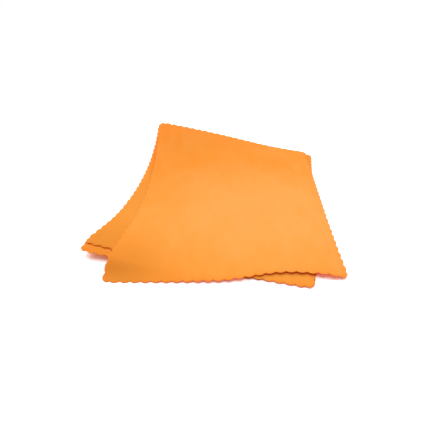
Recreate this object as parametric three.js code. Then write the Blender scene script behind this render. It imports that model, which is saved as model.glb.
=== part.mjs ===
// Microfiber polishing cloths: three loose sheets with scalloped edges, laid one on another.
// Millimetres. +X is to the viewer's right, +Y away from the viewer, +Z up, the table at Z = 0.

import * as THREE from 'three';
import { mergeGeometries } from 'three/addons/utils/BufferGeometryUtils.js';

// One cloth
const clothWidth = 250;
const clothLength = 300;
const fabricThickness = 1;
const cornerRadius = 11;
const scallopDepth = 1.9;
const scallopsAcross = 24;
const scallopsAlong = 28;

// Air left between one cloth and the next
const restGap = 0.3;

// How each cloth lies: the place of its middle, its turn, and how its edges are drawn.
// A draw is positive where the middle of an edge is pulled in. Lean takes the far edge to the right.
// Fan makes the left edge longer than the right edge. A ruck draws the near edge in where it runs out.
const bottomLay = {
  right: 10.1, away: 48, turnDegrees: -9.9,
  leftDraw: 2.1, rightDraw: -1, nearDraw: -1.5, farDraw: 6, lean: 9.4, fan: -1, ruckDraw: 0,
};
const middleLay = {
  right: -1.1, away: 53.6, turnDegrees: -13.8,
  leftDraw: 13, rightDraw: -1, nearDraw: 0, farDraw: 3, lean: -12.9, fan: -4.2, ruckDraw: 0,
};
const topLay = {
  right: 23.9, away: 36.6, turnDegrees: -0.4,
  leftDraw: 9.5, rightDraw: 5, nearDraw: -1.3, farDraw: -4.5, lean: 14.7, fan: 14.1, ruckDraw: 8.8,
};

// The pile's far left corner curls up: its rise, how far the curl runs in from the far edge,
// and how fast it dies out towards the right
const farLeftRise = 31.1;
const farCurlReach = 208.6;
const farCurlPower = 1.43;

// The pile's near left corner stands up too, within a reach
const nearLeftRise = 9.9;
const nearLeftReach = 107;

// A bend laid over a bend is a little wider and higher for each cloth
const reachGrowth = 8;
const riseGrowthShare = 0.05;

// Where a cloth hangs past the one below, it runs on level and then sinks to the table
const levelOverhang = 1.8;
const sinkLength = 22.9;

// What the top cloth does by itself: both curls rise further, and its near edge has a ruck
const topFarLeftRise = 16.8;
const topNearRightRise = 1.8;
const topNearCurlReach = 163;
const topNearCurlPower = 1.54;
const ruckRise = 0.8;
const ruckReachAcross = 82;
const ruckReachAlong = 100;
const ruckPlaceShare = 0.755;

// How finely a cloth is divided
const pointsPerScallop = 4;
const scallopsPerCell = 2;
const bandDepth = 9;
const unlayingPasses = 3;

const halfWidth = clothWidth / 2;
const halfLength = clothLength / 2;
const layerPitch = fabricThickness + restGap;
const cellsAcross = scallopsAcross / scallopsPerCell;
const cellsAlong = scallopsAlong / scallopsPerCell;

// A smooth hill: 1 at its middle, 0 at its reach and beyond
function hill(distance, reach) {
  return Math.max(0, 1 - (distance / reach) ** 2) ** 3;
}

// How much of a ruck there is at a point of the flat cloth: all of it on its ridge at the near edge
function ruckShare({ x, y }) {
  const ridge = (ruckPlaceShare - 1 / 2) * clothWidth;
  return hill(x - ridge, ruckReachAcross) * hill(y + halfLength, ruckReachAlong);
}

// How far a point of the flat cloth is moved within the cloth by its draws, lean, fan and ruck
function drawnShift(lay, { x, y }) {
  const across = x / halfWidth;
  const along = y / halfLength;
  const leftPull = lay.leftDraw * (1 - across) / 2;
  const rightPull = lay.rightDraw * (1 + across) / 2;
  const nearPull = lay.nearDraw * (1 - along) / 2;
  const farPull = lay.farDraw * (1 + along) / 2;
  return new THREE.Vector2(
    lay.lean * along + (1 - along ** 2) * (leftPull - rightPull),
    (1 - across ** 2) * (nearPull - farPull) - lay.fan * across * (1 + along) / 2
      + lay.ruckDraw * ruckShare({ x, y }),
  );
}

// Takes a point of the flat cloth to its place on the table
function layPoint(lay, point) {
  const turn = THREE.MathUtils.degToRad(lay.turnDegrees);
  return point.clone()
    .add(drawnShift(lay, point))
    .rotateAround(new THREE.Vector2(), turn)
    .add(new THREE.Vector2(lay.right, lay.away));
}

// Takes a place on the table back to the flat cloth, closing in on it in a few passes
function unlayPoint(lay, place) {
  const turn = THREE.MathUtils.degToRad(lay.turnDegrees);
  const drawn = place.clone()
    .sub(new THREE.Vector2(lay.right, lay.away))
    .rotateAround(new THREE.Vector2(), -turn);
  let flat = drawn;
  for (let pass = 0; pass < unlayingPasses; pass += 1) {
    const kept = flat.clone().clamp(
      new THREE.Vector2(-clothWidth, -clothLength),
      new THREE.Vector2(clothWidth, clothLength),
    );
    flat = drawn.clone().sub(drawnShift(lay, kept));
  }
  return flat;
}

// A curl that rises towards one corner: fromEdge is how far a point is from the curled edge,
// and fromSide how far it is from the side where the curl has died out
function curl(fromEdge, fromSide, reach, power) {
  const steepness = Math.max(0, 1 - fromEdge / reach) ** 2;
  return steepness * Math.max(0, fromSide / clothWidth) ** power;
}

// Where the near left curl has its top
const nearLeftCorner = layPoint(bottomLay, new THREE.Vector2(-halfWidth, -halfLength));

// How high the pile's far left curl stands at a place
function farLeftHeight(place) {
  const flat = unlayPoint(bottomLay, place);
  return farLeftRise * curl(halfLength - flat.y, halfWidth - flat.x, farCurlReach, farCurlPower);
}

// How high the pile's near left corner stands at a place, for a layer counted from the bottom
function nearLeftHeight(place, layer) {
  return nearLeftRise * hill(place.distanceTo(nearLeftCorner), nearLeftReach + layer * reachGrowth);
}

// How much of its height a cloth keeps at a place: 1 on the cloth that carries it, 0 well past it
function carriedShare(carrierLay, place) {
  const flat = unlayPoint(carrierLay, place);
  const past = Math.max(Math.abs(flat.x) - halfWidth, Math.abs(flat.y) - halfLength);
  return 1 - THREE.MathUtils.smoothstep(past, levelOverhang, levelOverhang + sinkLength);
}

// What the top cloth adds by itself, at a point of the flat cloth
function topRelief(point) {
  const { x, y } = point;
  const farCurl = curl(halfLength - y, halfWidth - x, farCurlReach, farCurlPower);
  const nearCurl = curl(halfLength + y, halfWidth + x, topNearCurlReach, topNearCurlPower);
  return topFarLeftRise * farCurl + topNearRightRise * nearCurl + ruckRise * ruckShare(point);
}

// The underside of a laid cloth over a point of the flat cloth; carriers are the cloths below it
function undersidePoint(lay, carriers, point) {
  const place = layPoint(lay, point);
  const layer = carriers.length;
  const growth = 1 + layer * riseGrowthShare;
  const carried = carriers.map((carrier) => carriedShare(carrier, place));
  const layers = carried.reduce((sum, part) => sum + part, 0) * layerPitch;
  const [onBottom = 1] = carried;
  const curls = farLeftHeight(place) + onBottom * nearLeftHeight(place, layer);
  const ownRelief = lay === topLay ? topRelief(point) : 0;
  return new THREE.Vector3(place.x, place.y, curls * growth + layers + ownRelief);
}

// A loop of evenly spaced points, anticlockwise from the near left corner
function rectangleLoop(reachX, reachY, stepsAcross, stepsAlong) {
  const corners = [
    new THREE.Vector2(-reachX, -reachY),
    new THREE.Vector2(reachX, -reachY),
    new THREE.Vector2(reachX, reachY),
    new THREE.Vector2(-reachX, reachY),
  ];
  return corners.flatMap((start, side) => {
    const end = corners[(side + 1) % corners.length];
    const steps = side % 2 === 0 ? stepsAcross : stepsAlong;
    return Array.from({ length: steps }, (_, step) => start.clone().lerp(end, step / steps));
  });
}

// The cut edge of the flat cloth: round lobes between sharp notches, and rounded corners
function scallopedLoop() {
  const plain = rectangleLoop(
    halfWidth, halfLength, scallopsAcross * pointsPerScallop, scallopsAlong * pointsPerScallop,
  );
  const innerX = halfWidth - cornerRadius;
  const innerY = halfLength - cornerRadius;
  return plain.map((point, index) => {
    const inner = new THREE.Vector2(
      THREE.MathUtils.clamp(point.x, -innerX, innerX),
      THREE.MathUtils.clamp(point.y, -innerY, innerY),
    );
    const phase = (index % pointsPerScallop) / pointsPerScallop;
    const notch = scallopDepth * (1 - Math.sin(Math.PI * phase));
    return point.clone().sub(inner).setLength(cornerRadius - notch).add(inner);
  });
}

// The points inside the edge band, in rows from near to far
function innerGrid() {
  const reachX = halfWidth - bandDepth;
  const reachY = halfLength - bandDepth;
  const grid = [];
  for (let row = 0; row <= cellsAlong; row += 1) {
    for (let column = 0; column <= cellsAcross; column += 1) {
      grid.push(new THREE.Vector2(
        THREE.MathUtils.lerp(-reachX, reachX, column / cellsAcross),
        THREE.MathUtils.lerp(-reachY, reachY, row / cellsAlong),
      ));
    }
  }
  return grid;
}

// Numbers of the grid's border points, in the same order as the edge loop
function gridBorder() {
  const numberOf = (column, row) => row * (cellsAcross + 1) + column;
  const steps = (count) => Array.from({ length: count }, (_, step) => step);
  return [
    ...steps(cellsAcross).map((step) => numberOf(step, 0)),
    ...steps(cellsAlong).map((step) => numberOf(cellsAcross, step)),
    ...steps(cellsAcross).map((step) => numberOf(cellsAcross - step, cellsAlong)),
    ...steps(cellsAlong).map((step) => numberOf(0, cellsAlong - step)),
  ];
}

// Triangles of one face, anticlockwise from above. Edge points are numbered first, then the grid.
function faceTriangles(edgeCount) {
  const triangles = [];
  const row = cellsAcross + 1;
  for (let cell = 0; cell < cellsAcross * cellsAlong; cell += 1) {
    const corner = edgeCount + Math.floor(cell / cellsAcross) * row + (cell % cellsAcross);
    triangles.push([corner, corner + 1, corner + row + 1], [corner, corner + row + 1, corner + row]);
  }
  const border = gridBorder().map((number) => edgeCount + number);
  const edgeSteps = edgeCount / border.length;
  border.forEach((here, index) => {
    const next = border[(index + 1) % border.length];
    const first = index * edgeSteps;
    for (let step = 0; step < edgeSteps; step += 1) {
      const inner = step < edgeSteps / 2 ? here : next;
      triangles.push([first + step, (first + step + 1) % edgeCount, inner]);
    }
    triangles.push([here, first + edgeSteps / 2, next]);
  });
  return triangles;
}

// A geometry from points and triangles, shaded smoothly within itself
function skin(points, triangles) {
  const geometry = new THREE.BufferGeometry().setFromPoints(points);
  geometry.setIndex(triangles.flat());
  geometry.computeVertexNormals();
  return geometry;
}

// One closed cloth: upper face, lower face and the cut edge between them
function clothGeometry(lay, carriers) {
  const edge = scallopedLoop();
  const flat = [...edge, ...innerGrid()];
  const lower = flat.map((point) => undersidePoint(lay, carriers, point));
  const up = new THREE.Vector3(0, 0, fabricThickness);
  const upper = lower.map((point) => point.clone().add(up));
  const upward = faceTriangles(edge.length);
  const downward = upward.map(([a, b, c]) => [a, c, b]);

  const wall = [...lower.slice(0, edge.length), ...upper.slice(0, edge.length)];
  const wallTriangles = edge.flatMap((_, here) => {
    const next = (here + 1) % edge.length;
    return [[here, next, edge.length + next], [here, edge.length + next, edge.length + here]];
  });
  return mergeGeometries([skin(upper, upward), skin(lower, downward), skin(wall, wallTriangles)]);
}

// One cloth of matt dyed suede, laid over the cloths that carry it
function cloth(name, lay, carriers, color) {
  const fabric = new THREE.MeshStandardMaterial({ color, roughness: 0.95, metalness: 0 });
  const mesh = new THREE.Mesh(clothGeometry(lay, carriers), fabric);
  mesh.name = name;
  return mesh;
}

const pile = new THREE.Group();
pile.add(
  cloth('bottom_cloth', bottomLay, [], 0xf59a47),
  cloth('middle_cloth', middleLay, [bottomLay], 0xf59c49),
  cloth('top_cloth', topLay, [bottomLay, middleLay], 0xfba84e),
);

// The origin is on the table, under the middle of the pile's box
const bounds = new THREE.Box3().setFromObject(pile);
const middle = bounds.getCenter(new THREE.Vector3());
pile.position.set(-middle.x, -middle.y, -bounds.min.z);

export default pile;
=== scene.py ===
"""Microfiber polishing cloths: three scalloped suede sheets in a loose pile, for Blender 4.5."""
from __future__ import annotations

import logging
import math
from dataclasses import dataclass, field
from enum import Enum

import bpy
import numpy as np
from mathutils import Matrix, Vector


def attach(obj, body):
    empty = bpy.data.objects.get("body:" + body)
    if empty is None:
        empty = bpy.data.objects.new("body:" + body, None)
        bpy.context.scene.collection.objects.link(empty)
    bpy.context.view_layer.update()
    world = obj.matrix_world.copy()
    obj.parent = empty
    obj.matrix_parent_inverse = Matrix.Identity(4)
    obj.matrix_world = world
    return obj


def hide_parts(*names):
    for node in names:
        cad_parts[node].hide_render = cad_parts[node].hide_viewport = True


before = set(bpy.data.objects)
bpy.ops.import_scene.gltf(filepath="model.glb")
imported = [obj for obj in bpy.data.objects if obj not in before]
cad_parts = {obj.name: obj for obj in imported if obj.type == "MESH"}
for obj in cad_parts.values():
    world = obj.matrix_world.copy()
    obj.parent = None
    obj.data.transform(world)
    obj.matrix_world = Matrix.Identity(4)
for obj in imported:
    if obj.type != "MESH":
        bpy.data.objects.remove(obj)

LOG = logging.getLogger("polishing_cloth")
PHOTO_SIDE_PX = 430

Colour = tuple[float, float, float, float]
Triple = tuple[float, float, float]
Socket = bpy.types.NodeSocket

# The least length that anything is divided by.
LEAST_LENGTH = 1e-9
# Pitch of the wave node's bands at a scale of 1.
WAVE_NODE_PITCH = math.pi / 10


@dataclass(frozen=True)
class Cut:
    """The flat cloth as it leaves the cutter, in metres.

    Args:
        width: Side across the pile.
        length: Side that runs away from the viewer.
        thickness: Thickness of the knit with its nap.
        corner_radius: Radius of the rounded corners.
        scallop_depth: How deep a notch goes between two lobes.
        scallops_across: Lobes on each short edge.
        scallops_along: Lobes on each long edge.
        scallop_fade: Depth inside the edge over which the scallops die out in the mesh.
    """

    width: float = 0.250
    length: float = 0.300
    thickness: float = 0.001
    corner_radius: float = 0.011
    scallop_depth: float = 0.0019
    scallops_across: int = 24
    scallops_along: int = 28
    scallop_fade: float = 0.008

    @property
    def half(self) -> np.ndarray:
        """Half of the width and half of the length."""
        return np.array([self.width, self.length]) / 2

    @property
    def scallops(self) -> np.ndarray:
        """Lobes across and along."""
        return np.array([self.scallops_across, self.scallops_along])

    def inset(self, flat: np.ndarray) -> np.ndarray:
        """How far each point of the plain rectangle is inside its nearest side."""
        return (self.half - np.abs(flat)).min(axis=1)

    def along_side(self, flat: np.ndarray) -> tuple[np.ndarray, np.ndarray]:
        """Finds each point's place along its nearest side.

        Args:
            flat: Points of the plain rectangle.

        Returns:
            The place along the side, counted in lobes, and a number for the side from 0 to 3.
        """
        axis = np.argmin(self.half - np.abs(flat), axis=1)
        lobes = (flat / self.half + 1) / 2 * self.scallops
        place = np.take_along_axis(lobes, 1 - axis[:, None], axis=1)[:, 0]
        beyond = np.take_along_axis(flat, axis[:, None], axis=1)[:, 0] > 0
        return place, axis * 2 + beyond

    def scalloped(self, flat: np.ndarray) -> np.ndarray:
        """Moves points of the plain rectangle into the rounded and scalloped cloth.

        Args:
            flat: Points of the plain rectangle.

        Returns:
            Points of the cut cloth. There is no notch on a corner.
        """
        middle = np.clip(flat, self.corner_radius - self.half, self.half - self.corner_radius)
        out = flat - middle
        depth = self.inset(flat)
        lobes, side = self.along_side(flat)
        off_corner = np.minimum(lobes, self.scallops[1 - side // 2] - lobes) > 0.5
        notch = self.scallop_depth * (1 - np.sin(math.pi * (lobes % 1))) * off_corner
        notch *= np.clip(1 - depth / self.scallop_fade, 0, 1) ** 2
        length = np.maximum(np.linalg.norm(out, axis=1), LEAST_LENGTH)
        moved = middle + out * ((self.corner_radius - depth - notch) / length)[:, None]
        return np.where(depth[:, None] < self.corner_radius, moved, flat)


def hill(distance: np.ndarray, reach: float) -> np.ndarray:
    """A smooth curve that is 1 at no distance and 0 from the reach on."""
    return np.maximum(0, 1 - (distance / reach) ** 2) ** 3


@dataclass(frozen=True)
class Ruck:
    """A ruck that runs in from the near edge of a cloth, in metres.

    Args:
        place: Where its ridge is, as a share of the cloth's width.
        reach_across: Half of its width.
        reach_along: How far it runs in from the near edge.
        rise: How high it stands at the near edge.
    """

    place: float = 0.755
    reach_across: float = 0.082
    reach_along: float = 0.100
    rise: float = 0.0012

    def share(self, cut: Cut, flat: np.ndarray) -> np.ndarray:
        """How much of it there is at each point: 1 on its ridge at the near edge."""
        across = hill(flat[:, 0] - (self.place - 0.5) * cut.width, self.reach_across)
        return across * hill(flat[:, 1] + cut.half[1], self.reach_along)


@dataclass(frozen=True)
class Lay:
    """How a cloth lies on the table, in metres and degrees.

    A draw is positive where the middle of an edge is pulled in.

    Args:
        right: Place of its middle, to the right.
        away: Place of its middle, away from the viewer.
        turn: Turn about the vertical, anticlockwise from above.
        left_draw: Draw of the left edge.
        right_draw: Draw of the right edge.
        near_draw: Draw of the near edge.
        far_draw: Draw of the far edge.
        lean: How far the far edge is moved to the right.
        fan: How much longer the left edge is than the right edge.
        ruck_draw: Draw of the near edge where a ruck runs out there.
        splay: How far the far left corner is moved out to the left.
        stretch: How much longer the cloth lies than it was cut.
    """

    right: float
    away: float
    turn: float
    left_draw: float
    right_draw: float
    near_draw: float
    far_draw: float
    lean: float
    fan: float
    ruck_draw: float = 0.0
    splay: float = 0.0
    stretch: float = 0.0

    @property
    def middle(self) -> np.ndarray:
        """Place of the cloth's middle."""
        return np.array([self.right, self.away])

    @property
    def turning(self) -> np.ndarray:
        """The turn as a matrix."""
        cosine, sine = math.cos(math.radians(self.turn)), math.sin(math.radians(self.turn))
        return np.array([[cosine, -sine], [sine, cosine]])

    def shift(self, cut: Cut, flat: np.ndarray) -> np.ndarray:
        """Works out how far the flat cloth is moved by its draws, its ruck and the rest.

        Args:
            cut: The flat cloth.
            flat: Points of it.

        Returns:
            How far each point moves across and along the cloth.
        """
        across, along = (flat / cut.half).T
        from_near = (1 + along) / 2
        side_pull = self.left_draw * (1 - across) / 2 - self.right_draw * (1 + across) / 2
        end_pull = self.near_draw * (1 - along) / 2 - self.far_draw * (1 + along) / 2
        x = self.lean * along + (1 - along**2) * side_pull - self.splay * (1 - across) / 2 * from_near
        y = (1 - across**2) * end_pull + (self.stretch - self.fan * across) * from_near
        return np.column_stack([x, y + self.ruck_draw * Ruck().share(cut, flat)])

    def place(self, cut: Cut, flat: np.ndarray) -> np.ndarray:
        """Takes points of the flat cloth to their places on the table."""
        return (flat + self.shift(cut, flat)) @ self.turning.T + self.middle

    def unplace(self, cut: Cut, place: np.ndarray, passes: int = 3) -> np.ndarray:
        """Takes places on the table back to the flat cloth.

        Args:
            cut: The flat cloth.
            place: Places on the table.
            passes: How often the draws are worked out again to close in on the place.

        Returns:
            Points of the flat cloth, also past its edge.
        """
        drawn = (place - self.middle) @ self.turning
        flat = drawn
        for _ in range(passes):
            flat = drawn - self.shift(cut, np.clip(flat, -2 * cut.half, 2 * cut.half))
        return flat


@dataclass(frozen=True)
class Curl:
    """A rise of a cloth towards one of its corners, in metres.

    Args:
        side: The corner's side: -1 is left, 1 is right.
        end: The corner's end: -1 is near, 1 is far.
        rise: How high the corner stands.
        reach: How far the curl runs in from the end.
        power: How fast it dies out towards the other side.
    """

    side: int
    end: int
    rise: float
    reach: float
    power: float

    def height(self, cut: Cut, flat: np.ndarray) -> np.ndarray:
        """Works out how high the curl lifts the cloth.

        Args:
            cut: The flat cloth.
            flat: Points of it.

        Returns:
            A height for each point.
        """
        from_end = cut.half[1] - self.end * flat[:, 1]
        from_side = cut.half[0] + self.side * flat[:, 0]
        steepness = np.maximum(0, 1 - from_end / self.reach) ** 2
        return self.rise * steepness * np.maximum(0, from_side / cut.width) ** self.power


def smoothed(share: np.ndarray) -> np.ndarray:
    """Eases a share from 0 to 1 in and out, and keeps it there beyond."""
    share = np.clip(share, 0, 1)
    return share**2 * (3 - 2 * share)


class Layer(Enum):
    """The cloths of the pile, counted from the table."""

    BOTTOM = 0
    MIDDLE = 1
    TOP = 2

    @property
    def node(self) -> str:
        """Name of the cloth's node and of its body."""
        return f"{self.name.lower()}_cloth"

    @property
    def piece(self) -> str:
        """Name of the dressed cloth."""
        return f"{self.node}_suede"

    @property
    def slot(self) -> str:
        """A finish name for it: top_fabric for the top cloth, under_fabric for the cloths below."""
        return "top_fabric" if self is Layer.TOP else "under_fabric"

    @property
    def carriers(self) -> list[Layer]:
        """The cloths below it."""
        return [layer for layer in Layer if layer.value < self.value]


def photographed_lays() -> dict[Layer, Lay]:
    """How each cloth lies in the photograph."""
    return {
        Layer.BOTTOM: Lay(
            right=0.0101, away=0.0480, turn=-9.9,
            left_draw=0.0021, right_draw=-0.0010, near_draw=-0.0015, far_draw=0.0060,
            lean=0.0094, fan=-0.0010,
        ),
        Layer.MIDDLE: Lay(
            right=-0.0011, away=0.0536, turn=-13.8,
            left_draw=0.0130, right_draw=-0.0010, near_draw=0.0, far_draw=0.0030,
            lean=-0.0129, fan=-0.0042,
        ),
        Layer.TOP: Lay(
            right=0.0217, away=0.0366, turn=-0.4,
            left_draw=0.0085, right_draw=0.0015, near_draw=-0.0013, far_draw=-0.0055,
            lean=0.0125, fan=0.0110, ruck_draw=0.0088, splay=0.0045, stretch=0.0040,
        ),
    }


@dataclass(frozen=True)
class Waves:
    """Slow waves in the knit that all the cloths share, in metres.

    Args:
        height: How high they rise at most.
        length: The length that their paces are counted against.
        first: Paces of the first wave across and along the pile.
        swing: How far the first wave swings on its way along the pile.
        swing_pace: Pace of that swing.
        second: Paces of the second wave across and along the pile.
        second_start: Where the second wave starts, as an angle.
    """

    height: float = 0.0007
    length: float = 0.095
    first: tuple[float, float] = (0.8, 0.5)
    swing: float = 0.6
    swing_pace: float = 0.45
    second: tuple[float, float] = (-0.35, 0.9)
    second_start: float = 1.7

    def rise(self, place: np.ndarray) -> np.ndarray:
        """Works out how high the waves lift the pile.

        Args:
            place: Places on the table.

        Returns:
            A height for each place, never below the level.
        """
        x, y = place.T * 2 * math.pi / self.length
        swing = self.swing * np.sin(self.swing_pace * y)
        first = np.sin(self.first[0] * x + self.first[1] * y + swing)
        second = np.sin(self.second[1] * y + self.second[0] * x + self.second_start)
        return self.height * (2 + first + second) / 4


@dataclass(frozen=True)
class Pile:
    """How the cloths lie on each other: their lays and the rises that they share, in metres.

    Args:
        cut: The flat cloth.
        rest_gap: Air between a cloth and the next.
        level_overhang: How far a cloth runs on level past the edge of the one below.
        sink_length: Over what length it then sinks by one layer.
        far_curl: The far left corner of the pile, which stands off the table.
        near_rise: How high the near left corner of the pile stands.
        near_reach: How far out from that corner the pile meets the table again.
        reach_growth: How much wider that bend is for each cloth laid over it.
        rise_growth: Share by which a rise is higher for each cloth laid over it.
        waves: The slow waves in the knit.
        lays: How each cloth lies.
        box_points: Points on each side of a cloth from which the pile's box is found.
    """

    cut: Cut = Cut()
    rest_gap: float = 0.0003
    level_overhang: float = 0.0018
    sink_length: float = 0.0229
    far_curl: Curl = Curl(side=-1, end=1, rise=0.0311, reach=0.2086, power=1.43)
    near_rise: float = 0.0099
    near_reach: float = 0.107
    reach_growth: float = 0.008
    rise_growth: float = 0.05
    waves: Waves = Waves()
    lays: dict[Layer, Lay] = field(default_factory=photographed_lays)
    box_points: int = 400

    @property
    def near_corner(self) -> np.ndarray:
        """Where the bottom cloth's near left corner lies."""
        return self.lays[Layer.BOTTOM].place(self.cut, -self.cut.half[None])[0]

    def carried(self, carrier: Layer, place: np.ndarray) -> np.ndarray:
        """How much of its height a cloth keeps: 1 on the cloth that carries it, 0 well past it."""
        past = -self.cut.inset(self.lays[carrier].unplace(self.cut, place))
        return 1 - smoothed((past - self.level_overhang) / self.sink_length)

    def underside(self, place: np.ndarray, layer: Layer) -> np.ndarray:
        """Works out how high the underside of a cloth lies over the table.

        Args:
            place: Places on the table, one row each.
            layer: The cloth.

        Returns:
            A height for each place, without what the cloth does by itself.
        """
        flat = self.lays[Layer.BOTTOM].unplace(self.cut, place)
        near_distance = np.linalg.norm(place - self.near_corner, axis=1)
        near_reach = self.near_reach + layer.value * self.reach_growth
        carried = [self.carried(carrier, place) for carrier in layer.carriers]
        on_bottom = carried[0] if carried else 1.0
        near_curl = on_bottom * self.near_rise * hill(near_distance, near_reach)
        curls = self.far_curl.height(self.cut, flat) + near_curl
        layers = sum(carried) * (self.cut.thickness + self.rest_gap)
        return curls * (1 + layer.value * self.rise_growth) + layers + self.waves.rise(place)

    def middle(self) -> np.ndarray:
        """Finds the middle of the cloths' common box, seen from above.

        Returns:
            Its place on the table.
        """
        steps = np.linspace(-1, 1, self.box_points)
        sides = [np.column_stack([steps, np.full(len(steps), side)]) for side in (-1, 1)]
        sides += [side[:, ::-1] for side in sides]
        edge = self.cut.scalloped(np.concatenate(sides) * self.cut.half)
        places = np.concatenate([lay.place(self.cut, edge) for lay in self.lays.values()])
        return (places.min(axis=0) + places.max(axis=0)) / 2


@dataclass(frozen=True)
class TopRelief:
    """What the top cloth does by itself: both curls rise further, and its near edge has two rucks.

    Args:
        far_curl: Its far left corner.
        near_curl: Its near right corner.
        ruck: Its wide ruck.
        lift: A short narrow lift of its near edge, close to the near right corner.
    """

    far_curl: Curl = Curl(side=-1, end=1, rise=0.0168, reach=0.2086, power=1.43)
    near_curl: Curl = Curl(side=1, end=-1, rise=0.0012, reach=0.163, power=1.54)
    ruck: Ruck = Ruck()
    lift: Ruck = Ruck(place=0.935, reach_across=0.026, reach_along=0.060, rise=0.0028)

    def height(self, cut: Cut, flat: np.ndarray) -> np.ndarray:
        """Height that it adds at each point of the flat cloth."""
        curls = self.far_curl.height(cut, flat) + self.near_curl.height(cut, flat)
        return curls + sum(ruck.rise * ruck.share(cut, flat) for ruck in (self.ruck, self.lift))


@dataclass
class Cloth:
    """One cloth of the pile, as a closed sheet with a rounded cut edge.

    Args:
        pile: The pile that it lies in.
        layer: Which cloth it is.
        middle: Place of the pile's middle, which is the origin of the model.
        steps: Mesh steps in one scallop.
        lobe_curl: How far a lobe may bend up out of the sheet.
        curl_depth: How deep inside the edge a lobe's bend starts.
        pressed: Share of its thickness that the hot blade pressed out of the cut edge.
        pressed_depth: How deep inside the edge it is pressed.
        seed: Seed of the lobes' bends.
        rim: Height over the sheet's middle and inset from the outline, as shares of the
            thickness, from the upper face down the cut edge to the lower face.
    """

    pile: Pile
    layer: Layer
    middle: np.ndarray
    steps: int = 6
    lobe_curl: float = 0.0003
    curl_depth: float = 0.005
    pressed: float = 0.65
    pressed_depth: float = 0.004
    seed: int = 11
    rim: tuple[tuple[float, float], ...] = (
        (0.5, 0.36),
        (0.3, 0.09),
        (0.0, 0.0),
        (-0.3, 0.09),
        (-0.5, 0.36),
    )

    def lobe_bends(self, flat: np.ndarray) -> np.ndarray:
        """Bends each lobe up by an amount of its own.

        Args:
            flat: Points of the plain rectangle.

        Returns:
            How far each point is bent up with its lobe.
        """
        cut = self.pile.cut
        place, side = cut.along_side(flat)
        most = int(cut.scallops.max()) + 1
        bends = np.random.default_rng(self.seed + self.layer.value).random(4 * most)
        chosen = bends[(side * most + np.floor(place)).astype(int)]
        near_edge = np.clip(1 - cut.inset(flat) / self.curl_depth, 0, 1) ** 2
        return self.lobe_curl * chosen * near_edge * np.sin(math.pi * (place % 1))

    def laid(self, flat: np.ndarray, height_share: float) -> np.ndarray:
        """Takes points of the plain rectangle to their places in the laid cloth.

        Args:
            flat: Points of the plain rectangle.
            height_share: Height over the sheet's middle, as a share of its thickness.

        Returns:
            One row of x, y, z for each point.
        """
        cut = self.pile.cut
        cloth = cut.scalloped(flat)
        place = self.pile.lays[self.layer].place(cut, cloth)
        z = self.pile.underside(place, self.layer) + self.lobe_bends(flat)
        if self.layer is Layer.TOP:
            z += TopRelief().height(cut, cloth)
        pressed = self.pressed * np.clip(1 - cut.inset(flat) / self.pressed_depth, 0, 1)
        thickness = cut.thickness * (1 - pressed)
        return np.column_stack([place - self.middle, z + thickness * (height_share + 0.5)])

    def grid(self) -> tuple[np.ndarray, np.ndarray, np.ndarray]:
        """Divides the plain rectangle.

        Returns:
            Its points, its four-sided faces as seen from above, and the border points'
            numbers, anticlockwise.
        """
        cut = self.pile.cut
        columns, rows = cut.scallops * self.steps + 1
        across = np.linspace(-cut.half[0], cut.half[0], columns)
        along = np.linspace(-cut.half[1], cut.half[1], rows)
        flat = np.stack(np.meshgrid(across, along), axis=-1).reshape(-1, 2)
        number = np.arange(rows * columns).reshape(rows, columns)
        corners = [number[:-1, :-1], number[:-1, 1:], number[1:, 1:], number[1:, :-1]]
        border = [number[0, :-1], number[:-1, -1], number[-1, :0:-1], number[:0:-1, 0]]
        return flat, np.stack(corners, axis=-1).reshape(-1, 4), np.concatenate(border)

    def mesh(self) -> bpy.types.Mesh:
        """Builds the closed sheet: an upper face, a lower face and a rounded rim between them.

        Returns:
            The mesh, with what the finish reads stored on it.
        """
        flat, cells, border = self.grid()
        face_height = self.rim[0][0]
        points, flats, rings = [], [], []
        for height_share, inset_share in self.rim:
            limit = self.pile.cut.half - inset_share * self.pile.cut.thickness
            level = np.clip(flat, -limit, limit)
            start = sum(map(len, points))
            is_face = abs(height_share) == face_height
            flats.append(level if is_face else level[border])
            points.append(self.laid(flats[-1], height_share))
            rings.append(start + (border if is_face else np.arange(len(border))))
        lower_start = sum(map(len, points[:-1]))
        walls = [
            np.column_stack([high, low, np.roll(low, -1), np.roll(high, -1)])
            for high, low in zip(rings, rings[1:])
        ]
        faces = np.concatenate([cells, cells[:, ::-1] + lower_start, *walls])
        mesh = bpy.data.meshes.new(self.layer.piece)
        mesh.from_pydata(np.concatenate(points).tolist(), [], faces.tolist())
        mesh.shade_smooth()
        self.mark(mesh, np.concatenate(flats))
        return mesh

    def mark(self, mesh: bpy.types.Mesh, flat: np.ndarray) -> None:
        """Stores what the finish reads: the flat place, the distance to the cut edge, and UVs.

        Args:
            mesh: The cloth's mesh.
            flat: The flat place of each of its points.
        """
        cut = self.pile.cut
        place = mesh.attributes.new("flat_place", "FLOAT_VECTOR", "POINT")
        place.data.foreach_set("vector", np.column_stack([flat, np.zeros(len(flat))]).ravel())
        edge = mesh.attributes.new("edge_distance", "FLOAT", "POINT")
        edge.data.foreach_set("value", cut.inset(flat))
        corners = np.empty(len(mesh.loops), dtype=np.int64)
        mesh.loops.foreach_get("vertex_index", corners)
        layer = mesh.uv_layers.new(name="cloth")
        layer.data.foreach_set("uv", ((flat / cut.half + 1) / 2)[corners].ravel())

    def build(self, finish: Suede) -> bpy.types.Object:
        """Makes the cloth, dresses it and joins it to the frame.

        Args:
            finish: The fabric.

        Returns:
            The cloth's object.
        """
        piece = bpy.data.objects.new(self.layer.piece, self.mesh())
        bpy.context.scene.collection.objects.link(piece)
        piece.data.materials.append(finish.material(self.layer))
        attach(piece, self.layer.node)
        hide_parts(self.layer.node)
        return piece


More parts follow.
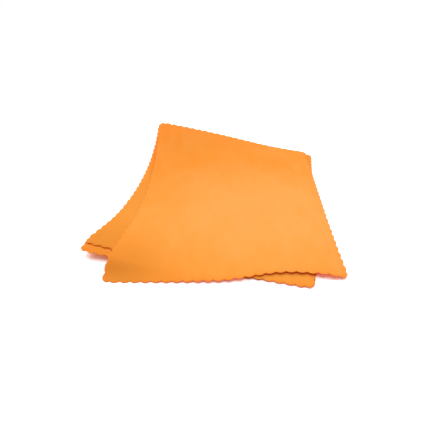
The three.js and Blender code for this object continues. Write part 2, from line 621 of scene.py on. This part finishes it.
class Nodes:
    """A short way to write a node tree."""

    def __init__(self, owner: bpy.types.Material | bpy.types.World) -> None:
        """Empties a node tree and keeps it.

        Args:
            owner: The material or world that has the tree.
        """
        owner.use_nodes = True
        self.tree = owner.node_tree
        self.tree.nodes.clear()

    def feed(self, socket: Socket, value: object) -> None:
        """Gives an input what it works on.

        Args:
            socket: The input.
            value: The output that is linked to it, or the value that it is set to.
        """
        if isinstance(value, Socket):
            self.tree.links.new(value, socket)
        else:
            socket.default_value = value

    def add(
        self,
        kind: str,
        inputs: dict[str | int, object] | None = None,
        output: str | None = None,
        **settings: object,
    ) -> Socket | None:
        """Adds a node.

        Args:
            kind: The node's class name.
            inputs: Input name or number to a value, or to the output that feeds it.
            output: Name of the output that is wanted.
            **settings: Properties of the node.

        Returns:
            The output of that name, or the node's first output that is in use.
        """
        node = self.tree.nodes.new(kind)
        for name, value in settings.items():
            setattr(node, name, value)
        for name, value in (inputs or {}).items():
            self.feed(node.inputs[name], value)
        if output is not None:
            return node.outputs[output]
        return next((socket for socket in node.outputs if socket.enabled), None)

    def stored(self, name: str, output: str) -> Socket:
        """Reads what the mesh stores under a name."""
        return self.add("ShaderNodeAttribute", output=output, attribute_name=name)

    def noise(self, place: Socket, size: float, detail: float) -> Socket:
        """Noise whose features are about a size across, in metres."""
        return self.add("ShaderNodeTexNoise", {"Vector": place, "Scale": 1 / size, "Detail": detail})

    def math(self, operation: str, first: object, second: object, clamp: bool = False) -> Socket:
        """One step of arithmetic on numbers or outputs."""
        return self.add("ShaderNodeMath", {0: first, 1: second}, operation=operation, use_clamp=clamp)

    def spread(self, value: Socket, low: float, high: float, share: float = 1.0) -> Socket:
        """Stretches a value so that low becomes 0 and high becomes the share."""
        limits = {"Value": value, "From Min": low, "From Max": high, "To Max": share}
        return self.add("ShaderNodeMapRange", limits)

    def distance(self, place: Socket, middle: Triple, reach: Triple) -> Socket:
        """Measures how far each place is from a middle.

        Args:
            place: The places.
            middle: The middle.
            reach: What counts as a distance of 1 along each axis.

        Returns:
            The distance.
        """
        from_middle = self.add("ShaderNodeVectorMath", {0: place, 1: middle}, operation="SUBTRACT")
        in_reaches = self.add("ShaderNodeVectorMath", {0: from_middle, 1: reach}, operation="DIVIDE")
        return self.add("ShaderNodeVectorMath", {0: in_reaches}, "Value", operation="LENGTH")

    def mix(self, share: object, first: object, second: object) -> Socket:
        """Mixes two colours."""
        return self.add("ShaderNodeMix", {0: share, 6: first, 7: second}, data_type="RGBA")

    def seen(self) -> Socket:
        """Tells the camera's view from the light.

        Returns:
            1 where the camera, a reflection or clear glass looks, and 0 for light.
        """
        path = self.tree.nodes.new("ShaderNodeLightPath").outputs
        reflected = self.math("ADD", path["Is Glossy Ray"], path["Is Transmission Ray"])
        return self.math("ADD", path["Is Camera Ray"], reflected, clamp=True)

    def finish(self, shader: Socket, kind: str = "ShaderNodeOutputMaterial") -> None:
        """Ends the tree with its output."""
        self.add(kind, {"Surface": shader})


@dataclass(frozen=True)
class Zone:
    """An oval zone of a cloth; the suede uses it to paint a highlight and a shade onto its nap.

    Args:
        middle: Its middle, in metres from the cloth's middle.
        reach: How far it reaches across and along, in metres.
        start: Where it begins, counted in reaches from its middle.
        full: Where it shows in full, counted in the same way.
        share: How strongly it shows there.
    """

    middle: Triple
    reach: Triple
    start: float
    full: float
    share: float = 1.0

    def spread(self, nodes: Nodes, place: Socket) -> Socket:
        """How much of it there is at each place."""
        distance = nodes.distance(place, self.middle, self.reach)
        return nodes.spread(distance, self.start, self.full, self.share)


@dataclass(frozen=True)
class Mottle:
    """An uneven spread of nap raised by a brush.

    Args:
        size: Size of its spots across the cloth, in metres.
        detail: How much finer unevenness the spots hold.
        start: Noise at which a spot begins.
        full: Noise at which it shows in full.
        share: How strongly it shows there.
        narrowing: Width of the spots as a share of their length along the cloth.
    """

    size: float
    detail: float
    start: float
    full: float
    share: float
    narrowing: float = 1.0

    def spread(self, nodes: Nodes, place: Socket) -> Socket:
        """Works out how much of it there is.

        Args:
            nodes: The material's tree.
            place: Place in the flat cloth.

        Returns:
            The amount at each place.
        """
        drawn_out = nodes.add("ShaderNodeMapping", {"Vector": place, "Scale": (1.0, self.narrowing, 1.0)})
        spots = nodes.noise(drawn_out, self.size, self.detail)
        return nodes.spread(spots, self.start, self.full, self.share)


@dataclass(frozen=True)
class Suede:
    """Split-microfiber suede: a short nap over a fine knit, cut with a hot blade.

    Args:
        nap: Colour of the nap where it lies flat.
        brushed_and_highlight: Colour of the random patches and strokes of raised nap, and of the painted
            highlight.
        painted_shade: Colour of the painted shade on the near left corner.
        deep: Colour between the fibres.
        fused: Colour of the fused cut edge.
        sheen: Colour of the light that the fibre ends scatter.
        through: Colour of the light that comes through the cloth.
        painted_highlight: The zone of painted highlight, a paler patch around the cloth's middle.
        dark_corner: The zone of painted shade on the near left corner.
        patches: Patches where the nap lies one way.
        strokes: Strokes within a patch.
        grain: Size of the nap's grain, in metres.
        grain_detail: How much finer grain it holds.
        pit_start: Grain at which the gap between two fibres begins.
        pit_full: Grain at which it is deepest.
        pit_share: How strongly the gaps show.
        edge_width: Width of the fused edge, in metres.
        fused_share: How strongly it shows.
        wale: Pitch of the knit's ribs, in metres.
        wale_wobble: How unevenly they run.
        wale_detail: How much finer unevenness they hold.
        wale_share: Height of the ribs as a share of the grain's height.
        bump: How strongly grain and ribs catch the light.
        bump_height: Height of the grain, in metres.
        roughness: Roughness of the nap.
        gloss: Strength of its plain reflection.
        sheen_weight: Strength of the light that the fibre ends scatter.
        sheen_roughness: How widely they scatter it.
        through_share: Share of the light that the cloth lets through.
    """

    nap: Colour = (0.98, 0.384, 0.031, 1)
    brushed_and_highlight: Colour = (0.98, 0.512, 0.114, 1)
    painted_shade: Colour = (0.79, 0.334, 0.036, 1)
    deep: Colour = (0.92, 0.29, 0.024, 1)
    fused: Colour = (0.85, 0.24, 0.015, 1)
    sheen: Colour = (1.0, 0.72, 0.45, 1)
    through: Colour = (1.0, 0.12, 0.008, 1)
    painted_highlight: Zone = Zone((0.042, -0.038, 0.0), (0.162, 0.112, 1.0), start=1.15, full=0.45, share=0.7)
    dark_corner: Zone = Zone((-0.125, -0.150, 0.0), (0.095, 0.070, 1.0), start=1.0, full=0.25)
    patches: Mottle = Mottle(size=0.055, detail=1.5, start=0.35, full=0.65, share=0.2)
    strokes: Mottle = Mottle(size=0.012, detail=3.0, start=0.3, full=0.7, share=0.26, narrowing=0.45)
    grain: float = 0.0011
    grain_detail: float = 3.0
    pit_start: float = 0.62
    pit_full: float = 0.35
    pit_share: float = 0.35
    edge_width: float = 0.0011
    fused_share: float = 0.6
    wale: float = 0.0009
    wale_wobble: float = 0.6
    wale_detail: float = 1.0
    wale_share: float = 0.18
    bump: float = 0.35
    bump_height: float = 0.0004
    roughness: float = 0.92
    gloss: float = 0.15
    sheen_weight: float = 0.2
    sheen_roughness: float = 0.5
    through_share: float = 0.29

    def colour(self, nodes: Nodes, place: Socket, grain: Socket) -> Socket:
        """Mixes the nap's patches, the painted highlight, the painted shade of the near left corner, the
        pits between its fibres and the fused edge.

        Args:
            nodes: The material's tree.
            place: Place in the flat cloth.
            grain: The nap's grain.

        Returns:
            The colour.
        """
        mottle = nodes.math("ADD", self.patches.spread(nodes, place), self.strokes.spread(nodes, place))
        # Painted highlight: its zone pales the nap together with the random patches and strokes.
        brushing_and_highlight = nodes.math("ADD", self.painted_highlight.spread(nodes, place), mottle)
        pits = nodes.spread(grain, self.pit_start, self.pit_full, self.pit_share)
        edge = nodes.stored("edge_distance", "Fac")
        fusing = nodes.spread(edge, self.edge_width, 0.0, self.fused_share)
        nap = nodes.mix(brushing_and_highlight, self.nap, self.brushed_and_highlight)
        # Painted shade: the nap of the near left corner is darkened.
        nap = nodes.mix(self.dark_corner.spread(nodes, place), nap, self.painted_shade)
        return nodes.mix(fusing, nodes.mix(pits, nap, self.deep), self.fused)

    def relief(self, nodes: Nodes, place: Socket, grain: Socket) -> Socket:
        """Raises the nap's grain and the knit's ribs.

        Args:
            nodes: The material's tree.
            place: Place in the flat cloth.
            grain: The nap's grain.

        Returns:
            The bumped normal.
        """
        ribs = nodes.add("ShaderNodeTexWave", {
            "Vector": place,
            "Scale": WAVE_NODE_PITCH / self.wale,
            "Distortion": self.wale_wobble,
            "Detail": self.wale_detail,
        })
        height = nodes.math("ADD", grain, nodes.math("MULTIPLY", ribs, self.wale_share))
        bump = {"Height": height, "Strength": self.bump, "Distance": self.bump_height}
        return nodes.add("ShaderNodeBump", bump)

    def material(self, layer: Layer) -> bpy.types.Material:
        """Makes the material of one cloth.

        Args:
            layer: The cloth.

        Returns:
            The material.
        """
        material = bpy.data.materials.new(f"{layer.node}_fabric")
        nodes = Nodes(material)
        place = nodes.stored("flat_place", "Vector")
        grain = nodes.noise(place, self.grain, self.grain_detail)
        front = nodes.add("ShaderNodeBsdfPrincipled", {
            "Base Color": self.colour(nodes, place, grain),
            "Normal": self.relief(nodes, place, grain),
            "Roughness": self.roughness,
            "Specular IOR Level": self.gloss,
            "Sheen Weight": self.sheen_weight,
            "Sheen Roughness": self.sheen_roughness,
            "Sheen Tint": self.sheen,
        })
        through = nodes.add("ShaderNodeBsdfTranslucent", {"Color": self.through})
        nodes.finish(nodes.add("ShaderNodeMixShader", {0: self.through_share, 1: front, 2: through}))
        return material


TOP_SUEDE = Suede()
# The lower cloths' suede: the same fabric with a darker nap, painted shade on the cloths that lie under
# the top one.
UNDER_SUEDE = Suede(nap=(0.89, 0.372, 0.034, 1), brushed_and_highlight=(0.9, 0.437, 0.073, 1))


@dataclass(frozen=True)
class Softbox:
    """A far soft light.

    Args:
        name: Its name.
        aim: The direction from the pile to the light.
        strength: Its strength, in watts per square metre.
        spread: The angle that it fills, in degrees.
    """

    name: str
    aim: Triple
    strength: float
    spread: float

    def build(self) -> None:
        """Hangs the light."""
        data = bpy.data.lights.new(self.name, "SUN")
        data.energy = self.strength
        data.angle = math.radians(self.spread)
        lamp = bpy.data.objects.new(self.name, data)
        lamp.location = self.aim
        lamp.rotation_euler = Vector(self.aim).to_track_quat("Z", "Y").to_euler()
        bpy.context.scene.collection.objects.link(lamp)


def grey(level: float) -> Colour:
    """A grey of a level, where 1 is white."""
    return (level, level, level, 1)


@dataclass(frozen=True)
class Studio:
    """The pale floor, the soft light and the camera.

    Args:
        middle: Place of the pile's middle, measured from the place that the camera looks at.
        distance: Distance of the camera from the place that it looks at.
        pitch: How steeply it looks down, in degrees.
        roll: How far the picture is rotated clockwise, in degrees.
        focal_px: Focal length in pixels of the photograph.
        nearest: Distance from the camera at which things start to show.
        floor_radius: Radius of the floor.
        floor_sides: How many sides the floor has.
        floor_drop: How far the floor lies under the pile.
        floor_grey: How pale the floor is in the light.
        floor_shown: How pale the camera sees it.
        fill: Strength of the even light from all around.
        key: The lamp.
    """

    middle: np.ndarray
    distance: float = 0.3994
    pitch: float = 36.2
    roll: float = -0.6
    focal_px: float = 310.7
    nearest: float = 0.01
    floor_radius: float = 6.0
    floor_sides: int = 64
    floor_drop: float = 0.0002
    floor_grey: float = 0.9
    floor_shown: float = 1.5
    fill: float = 0.292
    key: Softbox = Softbox("key_softbox", aim=(-0.05, 0.36, 0.93), strength=3.24, spread=85)

    def camera(self) -> None:
        """Sets the camera where the photograph was taken from."""
        pitch, roll = math.radians(self.pitch), math.radians(self.roll)
        ahead = Vector((0, math.cos(pitch), -math.sin(pitch)))
        level = Vector((1, 0, 0))
        upright = level.cross(ahead)
        side = level * math.cos(roll) + upright * math.sin(roll)
        top = upright * math.cos(roll) - level * math.sin(roll)
        data = bpy.data.cameras.new("photograph_view")
        data.lens = self.focal_px / PHOTO_SIDE_PX * data.sensor_width
        data.clip_start = self.nearest
        camera = bpy.data.objects.new("photograph_view", data)
        aim = Vector((-self.middle[0], -self.middle[1], 0))
        turn = Matrix((side, top, -ahead)).transposed().to_4x4()
        camera.matrix_world = Matrix.Translation(aim - ahead * self.distance) @ turn
        bpy.context.scene.collection.objects.link(camera)
        bpy.context.scene.camera = camera

    def floor(self) -> None:
        """Lays the plain pale floor, just under the pile."""
        steps = np.linspace(0, 2 * math.pi, self.floor_sides, endpoint=False)
        rim = self.floor_radius * np.column_stack([np.cos(steps), np.sin(steps), 0 * steps])
        mesh = bpy.data.meshes.new("floor")
        mesh.from_pydata(rim.tolist(), [], [range(len(rim))])
        floor = bpy.data.objects.new("floor", mesh)
        floor.location.z = -self.floor_drop
        bpy.context.scene.collection.objects.link(floor)
        material = bpy.data.materials.new("floor_paper")
        nodes = Nodes(material)
        paper = nodes.add("ShaderNodeBsdfDiffuse", {"Color": grey(self.floor_grey)})
        bright = nodes.add("ShaderNodeBsdfDiffuse", {"Color": grey(self.floor_shown)})
        nodes.finish(nodes.add("ShaderNodeMixShader", {0: nodes.seen(), 1: paper, 2: bright}))
        mesh.materials.append(material)

    def world(self) -> None:
        """Fills the room with even light, and shows white behind the floor."""
        world = bpy.data.worlds.new("studio")
        nodes = Nodes(world)
        fill = nodes.add("ShaderNodeBackground", {"Color": grey(1.0), "Strength": self.fill})
        white = nodes.add("ShaderNodeBackground", {"Color": grey(1.0), "Strength": 1.0})
        shown = nodes.add("ShaderNodeMixShader", {0: nodes.seen(), 1: fill, 2: white})
        nodes.finish(shown, "ShaderNodeOutputWorld")
        bpy.context.scene.world = world

    def build(self) -> None:
        """Sets the camera, the floor and the light."""
        bpy.context.scene.view_settings.view_transform = "Standard"
        self.camera()
        self.floor()
        self.world()
        self.key.build()


def main() -> None:
    """Builds the pile from the table up, then the studio."""
    logging.basicConfig(level=logging.INFO, format="%(message)s")
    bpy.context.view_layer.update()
    pile = Pile()
    middle = pile.middle()
    for layer in Layer:
        suede = TOP_SUEDE if layer is Layer.TOP else UNDER_SUEDE
        piece = Cloth(pile, layer, middle).build(suede)
        LOG.info("%s: %d faces", piece.name, len(piece.data.polygons))
    Studio(middle).build()


if __name__ == "__main__":
    main()
